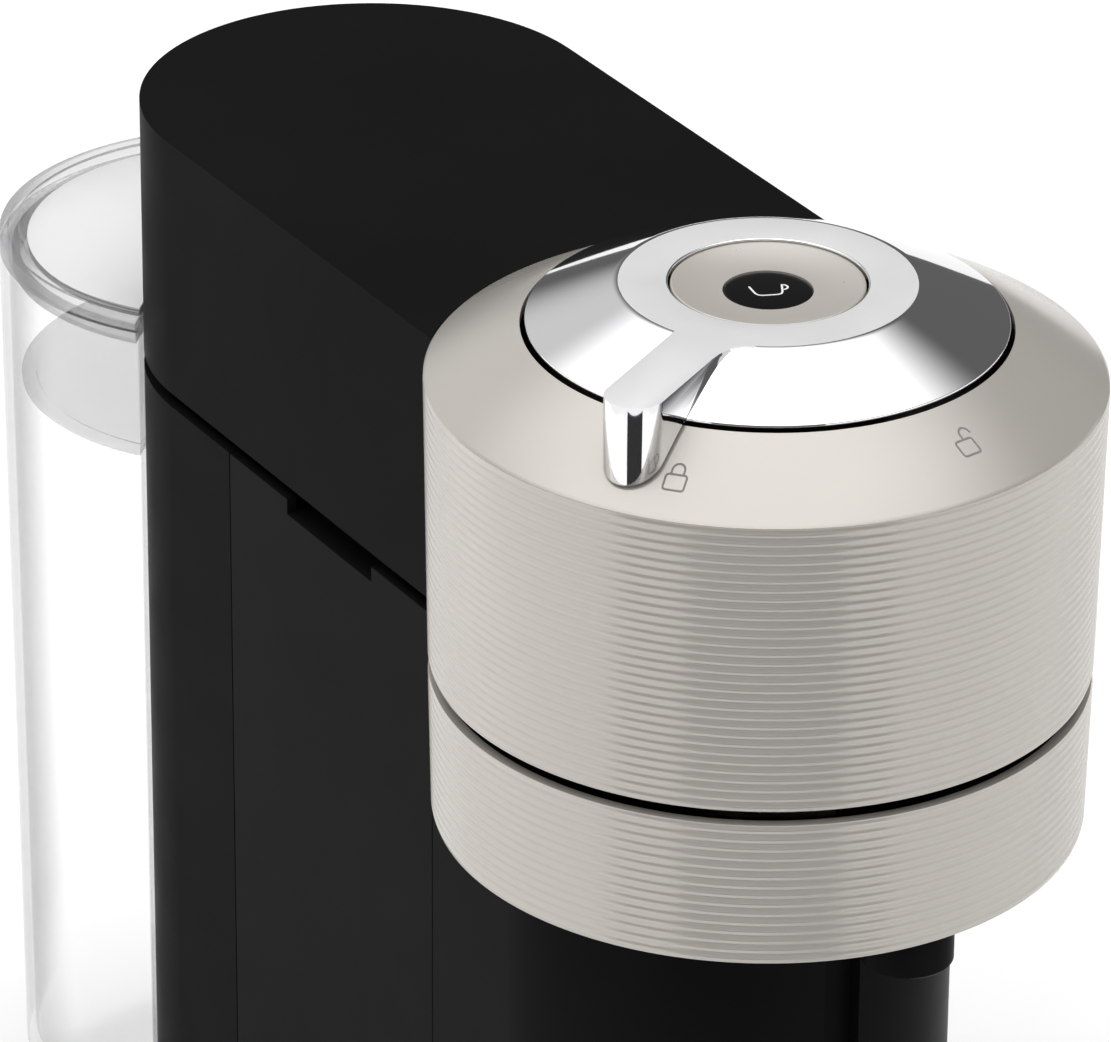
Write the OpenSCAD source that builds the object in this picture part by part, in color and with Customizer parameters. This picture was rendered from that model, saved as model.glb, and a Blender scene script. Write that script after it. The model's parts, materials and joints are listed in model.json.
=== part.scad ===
// Pod coffee machine that spins the capsule: round brewing head on a hinged top, lower body,
// used-capsule bin with a height-adjustable cup support, and a clear water tank behind.
// Every module is drawn from the head's axis at the height of the head's rim, then placed.

/* [Overall] */
// Height from the table to the top of the lever
overall_h = 314; // [280:1:380]
// Width of the body and of the hinged top casing
body_w = 103; // [96:1:124]
// Distance from the head's axis back to the centre of the body's round back
body_l = 165; // [150:1:200]
// Distance from the head's axis back to the centre of the round bin front
bin_l = 16.7; // [14:0.1:22]

/* [Brewing head] */
// Diameter of the head at its rim
head_d = 142; // [138:1:156]
// How much the ribbed wall narrows in radius from the rim to the bottom of the head
head_taper = 1.0; // [0:0.1:2]
// Height of the ribbed wall of the head
head_h = 65; // [64:1:78]
// Height of the smooth cone on top of the head
cone_h = 11.9; // [9:0.1:14]
// Number of moulded ribs on the head's wall
head_ribs = 31; // [20:1:40]
// Depth of one rib
rib_depth = 0.3; // [0.1:0.05:0.5]
// Gap between the head and the ring below it
head_gap = 3.2; // [2.5:0.1:5]

/* [Ring below the head] */
// Height of the lower ribbed ring
ring_h = 32.6; // [30:0.1:42]
// Number of moulded ribs on the lower ring
ring_ribs = 15; // [10:1:20]
// How far the coffee spout hangs below the ring
spout_drop = 9.4; // [6:0.1:16]
// Outside diameter of the coffee spout
spout_d = 19.6; // [16:0.1:24]
// Distance of the coffee spout in front of the head's axis
spout_reach = 58.3; // [56:0.1:60]

/* [Lever] */
// Diameter of the chromed skirt
skirt_d = 100.1; // [92:0.1:106]
// Height of the lever's flat top above the skirt's edge
lever_rise = 8.9; // [8:0.1:11]
// Diameter of the flat top of the lever's ring
lever_top_d = 63; // [58:0.5:70]
// Width of the lever's arm
arm_w = 12.6; // [9:0.1:16]
// Reach of the arm's round end from the head's axis
arm_reach = 66.6; // [62:0.1:68]
// Direction of the locked lever, in degrees from the machine's right
lever_angle = -148.4; // [-160:0.1:-140]
// Angle that the lever turns through to unlock the head
lever_turn = 60; // [45:1:75]

/* [Button] */
// Diameter of the brewing button
button_d = 40.4; // [36:0.1:42]
// Diameter of the black lens in the button
lens_d = 18.6; // [14:0.1:24]
// Travel of the button
button_travel = 1.5; // [1:0.1:2.5]

/* [Casings] */
// Wall of the moulded casings
wall = 2.5; // [2:0.1:3]
// Height of the hinged top casing
casing_h = 61.6; // [60:0.1:74]
// Distance from the head's axis back to the seam of the back cover
seam_back = 138; // [132:1:146]
// Length of the finger recess in the side
recess_l = 37; // [25:1:45]
// Height of the fixed cover between the lower ring and the capsule bin
front_cover_h = 88; // [80:1:96]
// Depth of the finger recess
recess_h = 3.6; // [3:0.1:6]

/* [Hinge] */
// Radius of the hinge pin
pin_r = 3; // [2:0.1:4]
// Distance of the hinge axis from the outside of the round back
hinge_inset = 16.5; // [15:0.1:20]
// Depth of the hinge axis below the rim
hinge_drop = 48; // [44:1:52]
// Thickness of each hinge ear and of each hinge post
ear_t = 7; // [5:0.5:8]

/* [Capsule drive] */
// Inside radius of the capsule holder
cup_r = 29.8; // [28:0.1:31]
// Radius of the spinning shafts
shaft_r = 6; // [4:0.1:7]
// Wall of each ball bearing, from its bore to its outside
bearing_t = 6.9; // [5:0.1:8]

/* [Cup support] */
// Diameter of the round cup support
support_d = 110; // [100:1:120]
// Height of the cup support
support_h = 17; // [14:1:22]
// Height that the cup support slides up
support_lift = 90; // [50:1:100]
// Width of the slot that the cup support slides in
slot_w = 8.7; // [7:0.1:11]

/* [Water tank] */
// Outside diameter of the tank at its top
tank_d = 110; // [100:1:120]
// Distance from the centre of the body's round back to the tank's centre
tank_off = 64; // [58:1:70]
// How much the tank narrows in radius down to its bottom
tank_taper = 1.5; // [0:0.1:3]
// Depth of the tank's lid top below the rim
tank_drop = 57.5; // [57:0.1:62]
// Wall of the tank
tank_wall = 2.2; // [1.8:0.1:3]
// Height of the lid's outer rim
lid_h = 4.5; // [4:0.1:7]

// Thickness of the dock under the tank
dock_t = 8; // [7.5:0.5:14]

/* [Clearances] */
// Gap between the casing and the water tank that hugs it
hug_gap = 2.4; // [1.5:0.1:4]
// Play of the tank's valve boss in its dock
boss_gap = 1; // [0.5:0.1:1.5]
// Radial clearance of a shaft or pin that turns in its bore
run_fit = 0.05; // [0.02:0.01:0.1]
// Radial clearance of a bearing or bush in its seat
seat_fit = 0.03; // [0.01:0.01:0.08]
// Clearance between pieces that slide or turn past each other
slide_gap = 0.4; // [0.3:0.05:0.7]
// Seam between two fixed covers
seam = 0.3; // [0.2:0.05:0.6]

/* [Hidden] */
$fn = 96;

eps = 0.01;
over = 1;
big = 400;

// Heights are below the rim unless they say otherwise.
lever_top = cone_h + lever_rise;
rim_z = overall_h - lever_top;
floor_z = -rim_z;
head_r = head_d / 2;
body_r = body_w / 2;
inner_r = body_r - wall;
head_bottom = -head_h;
ring_top = head_bottom - head_gap;
ring_bottom = ring_top - ring_h;
casing_top = -0.4;
casing_bottom = casing_top - casing_h;
body_top = casing_bottom - head_gap - 0.1;
tank_y = body_l + tank_off;
tank_r = tank_d / 2;
support_r = support_d / 2;
bin_front = bin_l - body_r;
support_y = bin_front - support_r;
front_reach = support_r - support_y;
back_reach = tank_y + tank_r;
head_y = (front_reach - back_reach) / 2;
bin_back = sqrt(head_r * head_r - body_r * body_r);

// Hinge
hinge_y = body_l + body_r - hinge_inset;
hinge_z = -hinge_drop;
hinge_r = pin_r + 4;
hinge_reach = hinge_y - body_l + hinge_r;
post_out = sqrt(inner_r * inner_r - hinge_reach * hinge_reach) - 1.5;
pin_half = post_out + 1.5;
post_in = post_out - ear_t;
ear_out = post_in - 1.5;
ear_in = ear_out - ear_t;
rear_deck_z = hinge_z - 28.5;

// Head
plate_top = -18;
plate_t = 4;
plate_bottom = plate_top - plate_t;
skirt_r = skirt_d / 2;
cone_in_r = skirt_r + 0.9;
cone_t = 2.4;
lever_wall = 2;
lever_top_r = lever_top_d / 2;
button_r = button_d / 2;
ring_in_r = button_r + 0.45;
hub_t = 3;
post_t = 2.4;
post_r = ring_in_r + 0.9;
hub_in_r = post_r + run_fit;
hub_out_r = hub_in_r + hub_t;
hub_top = lever_top - 2.5;
hub_flange_z = plate_top + 5;
dog_in = 42;
dog_out = 48;
dog_w = 10;
board_z = 0;
board_t = 1.6;
button_t = 4.9;
button_bottom = lever_top - button_t;
lens_top = lever_top - 2;
lens_t = 1.4;
lock_r = head_r - 7.5;
lock_in = lock_r - 12;
lock_top = -54;
lock_t = 6;
arm_half = 36;
bearing_r = shaft_r + bearing_t;
spring_wire = 0.9;

// Capsule drive
holder_top = ring_top - 3.8;
cup_t = 2.2;
holder_r = cup_r + 11.2;
cup_wall_h = 16;
cup_floor = holder_top - cup_wall_h - 13;
cup_floor_r = 18;
deck_top = holder_top + 1;
deck_t = 3;
deck_r = head_r - 4.7;
collector_r = holder_r + 5;
collector_floor = holder_top - 16.6;
collector_in = cup_r + cup_t + 4;
drive_r = -bin_front - 11.3;
spout_neck_r = 5;
drive_top = cup_floor - 5;
drive_bottom = drive_top - 14;
motor_bottom = drive_bottom - 31;

// Bin, support and base
base_t = 6;
foot_h = 3.2;
base_bottom = floor_z + foot_h;
base_top = base_bottom + base_t;
bin_floor = base_top + 1;
front_top = ring_bottom - 0.4;
bin_top = ring_bottom - front_cover_h;
bin_wall = 2.2;
rail_d = 10;
rail_half = slot_w / 2 + 4.6;
tee_half = slot_w / 2 + 2.8;
tee_y = bin_front + 4;
tee_d = 3.8;
bin_back_y = bin_back - seam;
bin_gate = motor_bottom - 40;
slider_low = bin_floor + 2.5;
slider_high = slider_low + 44;
support_bottom = floor_z + 1.7;
support_top = support_bottom + support_h;
chute_half = inner_r - 16;
chute_front = bin_back + 3;
chute_back = seam_back - 26;

// Tank
lid_top = -tank_drop;
tank_top = lid_top - lid_h;
tank_bottom = base_top + dock_t + 1;
hug_r = body_r + hug_gap;
valve_cage_r = 10.5;
valve_y = body_l + hug_r + tank_wall + valve_cage_r + 0.3;
boss_r = 9;
dock_half = 13;
dock_back = valve_y + boss_r + 3.5;
inlet_y = body_l - 6;
inlet_z = base_top + 21;
valve_bore = 4;

// ---------- shared shapes ----------

module at_head() {
  translate([0, head_y, rim_z]) children();
}

module slab(low, high) {
  translate([0, 0, low]) linear_extrude(high - low) children();
}

module rod(r, low, high) {
  translate([0, 0, low]) cylinder(h = high - low, r = r);
}

module pipe(r_out, r_in, low, high) {
  difference() {
    rod(r_out, low, high);
    rod(r_in, low - over, high + over);
  }
}

module block(x, y, z) {
  translate([x[0], y[0], z[0]]) cube([x[1] - x[0], y[1] - y[0], z[1] - z[0]]);
}

module both_sides() {
  children();
  mirror([1, 0, 0]) children();
}

module stadium(r, front, back) {
  translate([0, front]) circle(r);
  translate([0, back]) circle(r);
  translate([-r, front]) square([2 * r, back - front]);
}

// Outline of the tank at radius r, hollowed in front to hug the body at radius hug
module crescent(r, hug) {
  difference() {
    translate([0, tank_y]) circle(r);
    translate([0, body_l]) circle(hug);
  }
}

// Ribbed wall, as a profile to revolve: n ribs from high down to low, r_top to r_low
function rib_wall(n, high, low, r_top, r_low) = [
  for (i = [0 : 2 * n])
    [r_top + (r_low - r_top) * i / (2 * n) - (i % 2 == 0 ? rib_depth : 0), high + (low - high) * i / (2 * n)]
];

// A coil of round wire about Z, from z = 0 up
module coil(r, wire, height, turns) {
  around = 14;
  sides = 6;
  steps = around * turns;
  points = [
    for (i = [0 : steps], k = [0 : sides - 1])
      let (turn = 360 * i / around, side = 360 * k / sides, out = r + wire * cos(side))
        [out * cos(turn), out * sin(turn), wire + wire * sin(side) + (height - 2 * wire) * i / steps]
  ];
  skin = [
    for (i = [0 : steps - 1], k = [0 : sides - 1])
      let (a = i * sides + k, b = i * sides + (k + 1) % sides)
        [a, b, b + sides, a + sides]
  ];
  first = [for (k = [sides - 1 : -1 : 0]) k];
  last = [for (k = [0 : sides - 1]) steps * sides + k];
  polyhedron(points, concat([first], skin, [last]), convexity = 10);
}

// A wedge of the plane between two angles, out to radius r
module wedge(r, from, to) {
  middle = (from + to) / 2;
  polygon([[0, 0], r * [cos(from), sin(from)], r * [cos(middle), sin(middle)], r * [cos(to), sin(to)]]);
}

// Height of the head's smooth cone at radius r
function cone_z(r) = (head_r - r) / (head_r - skirt_r) * cone_h;

// ---------- head: everything that opens with the top ----------

module head_shell() {
  low_r = head_r - head_taper;
  color([0.72, 0.70, 0.67]) at_head() difference() {
    rotate_extrude() polygon(concat(
      [[cone_in_r, cone_z(cone_in_r)]],
      rib_wall(head_ribs, 0, head_bottom, head_r, low_r),
      [
        [low_r - wall, head_bottom],
        [head_r - wall, -cone_t],
        [cone_in_r, cone_z(cone_in_r) - cone_t]
      ]
    ));
    block([-arm_half - 2, arm_half + 2], [0, head_r + over], [-head_h + 5, -8]);
  }
}

module top_casing() {
  color([0.06, 0.06, 0.065]) at_head() difference() {
    slab(casing_bottom, casing_top) stadium(body_r, 0, body_l);
    slab(casing_bottom - over, casing_top - wall) stadium(inner_r, 0, body_l);
    rod(head_r + seam, casing_bottom - over, over);
    block([-body_r - over, body_r + over], [-body_r - over, 0], [casing_bottom - over, over]);
    both_sides() block(
      [post_in - 1.5, post_out + 1.5], [hinge_y, body_l + body_r + over], [casing_bottom - over, hinge_z + 5]
    );
  }
}

module head_ear() {
  rotate([90, 0, 90]) translate([0, 0, ear_in]) linear_extrude(ear_t) {
    translate([hinge_y, hinge_z]) circle(hinge_r);
    polygon([
      [hinge_y - hinge_r, hinge_z], [hinge_y + hinge_r, hinge_z],
      [hinge_y - 14, plate_bottom], [hinge_y - 40, plate_bottom]
    ]);
  }
}

module head_frame() {
  flange_t = 4;
  color([0.23, 0.23, 0.24]) at_head() difference() {
    union() {
      rod(head_r - wall - 1, plate_bottom, plate_top);
      block([-arm_half, arm_half], [0, hinge_y - 14], [plate_bottom, plate_top]);
      both_sides() block(
        [arm_half - flange_t, arm_half], [head_r + 2, hinge_y - 22], [plate_bottom - 30, plate_bottom]
      );
      both_sides() head_ear();
      rod(post_r, plate_bottom, lever_top - 8);
      rod(bearing_r + 4, plate_bottom - 18, plate_bottom);
    }
    rod(post_r - post_t, board_z, lever_top);
    rod(post_r - post_t, plate_top - 2, board_z - 2);
    rod(bearing_r + seat_fit, plate_bottom - 18 - over, plate_bottom - 7);
    rod(shaft_r + 1, plate_bottom - 8, plate_bottom + 1);
    rod(shaft_r + 1, plate_bottom, plate_top - 1);
    block([-3.4, 3.4], [0, bearing_r + 6], [plate_bottom - 6.5, plate_bottom - eps]);
    slab(plate_bottom - over, plate_top + over) intersection() {
      difference() {
        circle(dog_out + 2);
        circle(dog_in - 2);
      }
      wedge(2 * dog_out, lever_angle - 10, lever_angle + lever_turn + 10);
    }
    translate([-big / 2, hinge_y, hinge_z]) rotate([0, 90, 0]) cylinder(h = big, r = pin_r + run_fit);
    for (y = [head_r + 16 : 30 : hinge_y - 40]) translate([0, y, 0])
      rod(11, plate_bottom - over, plate_top + over);
  }
}

module head_base() {
  out_r = head_r - head_taper - wall - 0.3;
  color([0.07, 0.07, 0.07]) at_head() difference() {
    pipe(out_r, lock_r + slide_gap, head_bottom, head_bottom + 7);
    block([-arm_half - 2, arm_half + 2], [0, head_r], [head_bottom + 4, 0]);
  }
}

module injector_bearing() {
  color([0.75, 0.76, 0.78]) at_head()
    pipe(bearing_r, shaft_r + run_fit, plate_bottom - 16, plate_bottom - 7);
}

module water_elbow() {
  color([0.78, 0.62, 0.3]) at_head() difference() {
    union() {
      rod(shaft_r - 0.5, plate_bottom - 6.2, plate_bottom - 0.3);
      translate([0, 0, plate_bottom - 3.3]) rotate([-90, 0, 0]) cylinder(h = bearing_r + 8, r = 2.8);
    }
    rod(1.2, plate_bottom - 7, plate_bottom - 3);
    translate([0, 0, plate_bottom - 3.3]) rotate([-90, 0, 0]) cylinder(h = bearing_r + 9, r = 1.2);
  }
}

module head_hose() {
  start = bearing_r + 8;
  color([0.85, 0.85, 0.83]) at_head() translate([0, start, plate_bottom - 3.3]) rotate([-90, 0, 0])
    difference() {
      cylinder(h = hinge_y - 26 - start, r = 2.8);
      translate([0, 0, -over]) cylinder(h = hinge_y, r = 1.5);
    }
}

module switch_board() {
  color([0.1, 0.35, 0.18]) at_head() {
    rod(post_r - post_t - 0.4, board_z, board_z + board_t);
    block([-3, 3], [-3, 3], [board_z + board_t - eps, button_bottom - button_travel - 2.2]);
  }
}

module button_spring() {
  low = board_z + board_t;
  color([0.75, 0.75, 0.77]) at_head() translate([0, 0, low])
    coil(11, spring_wire / 2, button_bottom - low, 4);
}

// ---------- lever ----------

module lever() {
  edge = 1;
  arm_gap = 1;
  under = [
    [0, -6], [head_r, -6], [head_r, arm_gap], [skirt_r + arm_gap, cone_z(skirt_r + arm_gap) + arm_gap],
    [skirt_r + arm_gap, cone_h], [skirt_r - lever_wall, cone_h], [lever_top_r, hub_top], [0, hub_top]
  ];
  color([0.85, 0.86, 0.87]) at_head() rotate([0, 0, lever_angle]) difference() {
    union() {
      rotate_extrude() polygon([
        [0, cone_h], [skirt_r, cone_h], [skirt_r, cone_h + 0.4],
        [lever_top_r + edge, lever_top - 0.5], [lever_top_r - edge, lever_top], [0, lever_top]
      ]);
      slab(0.5, lever_top) {
        translate([0, -arm_w / 2]) square([arm_reach - arm_w / 2, arm_w]);
        translate([arm_reach - arm_w / 2, 0]) circle(arm_w / 2);
      }
    }
    rotate_extrude() polygon(under);
    rod(ring_in_r, 0, lever_top + over);
  }
}

module lever_hub() {
  color([0.2, 0.2, 0.21]) at_head() rotate([0, 0, lever_angle]) {
    pipe(hub_out_r, hub_in_r, hub_flange_z, hub_top);
    rotate([90, 0, 0]) translate([0, 0, -dog_w / 2]) linear_extrude(dog_w) polygon([
      [hub_out_r - 1, hub_flange_z], [dog_in, hub_flange_z], [dog_in, lock_top], [lock_in + 5, lock_top],
      [lock_in + 5, lock_top + 3], [dog_out, lock_top + 3], [dog_out, hub_flange_z + 3],
      [hub_out_r - 1, hub_flange_z + 3]
    ]);
  }
}

module locking_ring() {
  lug_turn = 120;
  color([0.8, 0.8, 0.8]) at_head() {
    pipe(lock_r, lock_in, lock_top - lock_t, lock_top);
    for (i = [0 : 2]) rotate([0, 0, i * lug_turn]) slab(deck_top + 0.6, lock_top - lock_t + eps)
      intersection() {
        difference() {
          circle(lock_r - 1);
          circle(lock_r - 6);
        }
        wedge(2 * lock_r, -12, 12);
      }
  }
}

// ---------- button ----------

module button() {
  color([0.66, 0.64, 0.61]) at_head() {
    difference() {
      rotate_extrude() polygon([
        [0, button_bottom], [button_r, button_bottom], [button_r, lever_top - 0.4],
        [button_r - 0.6, lever_top - 0.1], [lens_d / 2, lens_top], [0, lens_top]
      ]);
      rod(lens_d / 2 + 0.1, lens_top - lens_t, lever_top);
    }
    pipe(post_r - post_t - 0.6, post_r - post_t - 2.6, button_bottom - 8, button_bottom + eps);
    rod(3, button_bottom - 2, button_bottom + eps);
  }
}

module button_lens() {
  color([0.02, 0.02, 0.02]) at_head() rod(lens_d / 2, lens_top - lens_t, lens_top - 0.1);
}

// ---------- injector: the clamp that spins with the capsule ----------

module injector() {
  clamp_r = cup_r + 7;
  color([0.15, 0.15, 0.16]) at_head() difference() {
    union() {
      rod(shaft_r, plate_bottom - 28, plate_bottom - 6.6);
      rod(shaft_r + 3, plate_bottom - 20, plate_bottom - 16.3);
      rod(shaft_r + 6, plate_bottom - 32, plate_bottom - 26);
      rod(clamp_r, plate_bottom - 38, plate_bottom - 32);
    }
    rod(1.5, plate_bottom - 39, 0);
  }
}

module piercing_needle() {
  top = plate_bottom - 38;
  tip = holder_top - 2;
  teeth = 12;
  color([0.8, 0.81, 0.82]) at_head() {
    difference() {
      union() {
        rod(5, top - 2, top);
        rod(2, tip + 3, top - 1);
        translate([0, 0, tip]) cylinder(h = 3, r1 = 1.2, r2 = 2);
      }
      rod(0.9, tip - over, top + over);
    }
    for (i = [0 : teeth - 1]) rotate([0, 0, i * 360 / teeth]) translate([cup_r - 3.5, 0, top - 7])
      cylinder(h = 7, r1 = 0.3, r2 = 1.3);
  }
}

module brew_seal() {
  top = plate_bottom - 38;
  color([0.55, 0.12, 0.1]) at_head() rotate_extrude() polygon([
    [cup_r, top], [cup_r + 5, top], [cup_r + 4, holder_top + 1.2], [cup_r + 1, holder_top + 1.2]
  ]);
}

// ---------- fixed lower body ----------

module base_outline(inset) {
  stadium(body_r - inset, bin_l, body_l);
  translate([-dock_half, body_l]) square([2 * dock_half, dock_back - body_l]);
}

module base_plate() {
  color([0.08, 0.08, 0.085]) at_head() difference() {
    slab(base_bottom, base_top) base_outline(wall + seam);
    for (p = screw_places()) translate([p[0], p[1], 0]) {
      rod(1.8, base_bottom - over, base_top + over);
      rod(3.6, base_bottom - over, base_bottom + 3);
    }
  }
}

function screw_places() = [
  for (x = [-1, 1], y = [bin_back + 16, seam_back + 12]) [x * (inner_r - 9), y]
];

function foot_places() = [
  for (x = [-1, 1], y = [bin_l, body_l - 6]) [x * (body_r - 18), y],
  [0, body_l + body_r - 16]
];

module feet() {
  color([0.1, 0.1, 0.1]) at_head() for (p = foot_places()) translate([p[0], p[1], 0])
    rod(8, floor_z, base_bottom);
}

module case_screws() {
  color([0.7, 0.71, 0.72]) at_head() for (p = screw_places()) translate([p[0], p[1], 0]) {
    rod(1.7, base_bottom + 2, base_top + 12);
    difference() {
      rod(3.4, base_bottom + 0.6, base_bottom + 3);
      slab(base_bottom, base_bottom + 1.8) circle(1.5, $fn = 6);
    }
  }
}

module screw_boss(p) {
  translate([p[0], p[1], 0]) difference() {
    union() {
      rod(4.5, base_top, base_top + 14);
      block([p[0] > 0 ? 0 : -9.3, p[0] > 0 ? 9.3 : 0], [-2, 2], [base_top, base_top + 14]);
    }
    rod(1.7 + seat_fit, base_top - over, base_top + 12.5);
  }
}

module side_cover() {
  deck_low = deck_top;
  color([0.045, 0.045, 0.05]) at_head() {
    difference() {
      union() {
        both_sides() block(
          [inner_r, body_r], [bin_back - 8, seam_back], [base_bottom, body_top]
        );
        block([-inner_r - eps, inner_r + eps], [chute_front - 4, seam_back], [deck_low, deck_low + wall]);
      }
      rod(head_r + seam, ring_bottom - seam, 0);
      block([-big, big], [-big, bin_back], [-big, ring_bottom - seam + eps]);
      block(
        [-chute_half, chute_half], [chute_front - 5, chute_back],
        [deck_low - over, deck_low + wall + over]
      );
      both_sides() block(
        [inner_r - 4, body_r + over], [chute_back - recess_l, chute_back], [body_top - recess_h, over]
      );
    }
    for (p = screw_places()) if (p[1] < seam_back) screw_boss(p);
  }
}

module rear_cover() {
  color([0.055, 0.055, 0.06]) at_head() {
    difference() {
      slab(base_bottom, body_top) stadium(body_r, seam_back, body_l);
      slab(base_bottom - over, rear_deck_z - wall) stadium(inner_r, 0, body_l);
      slab(rear_deck_z, body_top + over) stadium(inner_r, 0, body_l);
      block([-big, big], [-big, seam_back + seam], [-big, 0]);
      block([-14, 14], [seam_back - 1, hinge_y - 24], [rear_deck_z - 4, rear_deck_z + 1]);
      block([-dock_half - seam, dock_half + seam], [body_l, big], [base_bottom - over, base_top + seam]);
      translate([-body_r - over, inlet_y, inlet_z]) rotate([0, 90, 0]) cylinder(h = 12, r = 6.1);
    }
    for (p = screw_places()) if (p[1] > seam_back) screw_boss(p);
  }
}

module lower_ring() {
  high_r = head_r - head_taper;
  low_r = high_r - 0.7;
  color([0.72, 0.70, 0.67]) at_head() difference() {
    rotate_extrude() polygon(concat(
      rib_wall(ring_ribs, ring_top, ring_bottom, high_r, low_r),
      [[low_r - wall, ring_bottom], [high_r - wall, ring_top]]
    ));
    block([-inner_r - 0.3, inner_r + 0.3], [0, head_r + over], [ring_bottom - over, ring_top + over]);
  }
}

module chamber_deck() {
  color([0.06, 0.06, 0.06]) at_head() {
    difference() {
      union() {
        rod(deck_r, deck_top - deck_t, deck_top);
        block([-inner_r + 1, inner_r - 1], [0, chute_front], [deck_top - deck_t, deck_top]);
      }
      rod(holder_r + 1, deck_top - deck_t - over, deck_top + over);
      block([-chute_half, chute_half], [chute_front - 6, head_r + 10], [deck_top - 20, deck_top + over]);
    }
    difference() {
      pipe(deck_r, deck_r - 2, ring_bottom, deck_top - deck_t + eps);
      block([-inner_r - 2, inner_r + 2], [0, head_r], [ring_bottom - over, deck_top]);
    }
    difference() {
      pipe(deck_r, spout_reach - 14, ring_bottom, ring_bottom + 2);
      block([-inner_r - 2, inner_r + 2], [0, head_r], [ring_bottom - over, ring_bottom + 3]);
      translate([0, -spout_reach, 0]) rod(spout_neck_r + 0.2, ring_bottom - over, ring_bottom + 3);
    }
  }
}

module coffee_collector() {
  gutter = 2;
  spout_top = deck_top - deck_t - 3;
  color([0.1, 0.1, 0.1]) at_head() difference() {
    union() {
      pipe(collector_r, collector_in, collector_floor, collector_floor + gutter);
      pipe(collector_r, collector_r - gutter, collector_floor, deck_top - deck_t - 0.2);
      pipe(collector_in + gutter, collector_in, collector_floor, holder_top - 6);
      block([-6.5, 6.5], [-spout_reach - 5.2, -collector_r + 1], [collector_floor - 6, spout_top]);
    }
    block([-5, 5], [-spout_reach - 3.8, -collector_r + 1 + over], [collector_floor - 4, spout_top - 2]);
    block([-5, 5], [-collector_r - 1, -collector_in - gutter - 1], [collector_floor + gutter, spout_top - 2]);
    translate([0, -spout_reach, 0]) rod(3.4, collector_floor - 7, collector_floor);
  }
}

module coffee_spout() {
  low = ring_bottom - spout_drop;
  chamfer = 0.8;
  color([0.05, 0.05, 0.05]) at_head() translate([0, -spout_reach, 0]) difference() {
    union() {
      rod(spout_d / 2, low + chamfer, ring_bottom - 0.2);
      rod(spout_neck_r, low + chamfer, collector_floor - 6);
      translate([0, 0, low]) cylinder(h = chamfer, r1 = spout_d / 2 - chamfer, r2 = spout_d / 2);
    }
    rod(spout_neck_r - 1.4, low + 6, 0);
    for (x = [-4.2, 4.2]) translate([x, 0, 0]) rod(2.6, low - over, low + 7);
  }
}

module drive_housing() {
  top = collector_floor;
  color([0.3, 0.3, 0.31]) at_head() rotate_extrude() polygon([
    [shaft_r + 3, drive_bottom], [drive_r, drive_bottom], [drive_r, ring_bottom - 0.2],
    [collector_in + 0.5, top - 2.2], [collector_r - 2, top - 2.2], [collector_r - 2, top],
    [collector_in - 0.5, top], [drive_r - 2, cup_floor - 2.6], [drive_r - 2, drive_top],
    [bearing_r + seat_fit, drive_top], [bearing_r + seat_fit, drive_bottom + 3],
    [shaft_r + 3, drive_bottom + 3]
  ]);
}

module holder_bearing() {
  color([0.75, 0.76, 0.78]) at_head()
    pipe(bearing_r, shaft_r + run_fit, drive_bottom + 3, drive_top - 1);
}

module motor_stator() {
  poles = 9;
  color([0.72, 0.42, 0.2]) at_head() {
    pipe(shaft_r + 5, shaft_r + 3, drive_bottom - 19, drive_bottom);
    for (i = [0 : poles - 1]) rotate([0, 0, i * 360 / poles])
      block([shaft_r + 4, drive_r - 9.5], [-1.6, 1.6], [drive_bottom - 18, drive_bottom - 5]);
  }
}

module motor_cover() {
  color([0.2, 0.2, 0.22]) at_head() {
    pipe(drive_r, drive_r - 2, motor_bottom + 2 - eps, drive_bottom);
    rod(drive_r, motor_bottom, motor_bottom + 2);
  }
}

module capsule_chute() {
  high = deck_top - 0.5;
  ramp_t = 2;
  low = bin_gate + 4;
  color([0.09, 0.09, 0.1]) at_head() {
    rotate([90, 0, 90]) translate([0, 0, -chute_half]) linear_extrude(2 * chute_half) polygon([
      [chute_back, high], [chute_back + ramp_t, high], [chute_back + ramp_t, high - 12],
      [chute_front - 1, low - 3], [chute_front - 1, low], [chute_back, high - 12]
    ]);
    both_sides() rotate([90, 0, 90]) translate([0, 0, chute_half]) linear_extrude(ramp_t) polygon([
      [chute_back + ramp_t, high], [chute_back + ramp_t, high - 12], [chute_front - 1, low - 3],
      [chute_front - 1, motor_bottom], [chute_front + 8, high - 24], [chute_front + 8, high]
    ]);
  }
}

module barcode_reader() {
  x = collector_r + 2;
  color([0.1, 0.3, 0.15]) at_head() block([x, x + 9], [-9, 9], [deck_top - deck_t - 12, deck_top - deck_t]);
}

module reader_window() {
  x = collector_r + 0.3;
  high = deck_top - deck_t - 2;
  color([0.5, 0.1, 0.1, 0.6]) at_head() block([x, x + 1.7], [-5, 5], [high - 8, high]);
}

// ---------- water side ----------

pump_x = -20;
pump_y = body_l + 4;
pump_r = 16;
pump_low = base_top + 26;
pump_high = pump_low + 66;
block_x = 20;
block_low = pump_high - 10;
block_high = rear_deck_z - wall - 16;

module water_pump() {
  color([0.78, 0.78, 0.76]) at_head() translate([pump_x, pump_y, 0]) {
    rod(pump_r, pump_low + 8, pump_high - 14);
    rod(5, pump_low, pump_low + 9);
    rod(8, pump_high - 15, pump_high - 6);
    rod(4, pump_high - 7, pump_high);
  }
}

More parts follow.
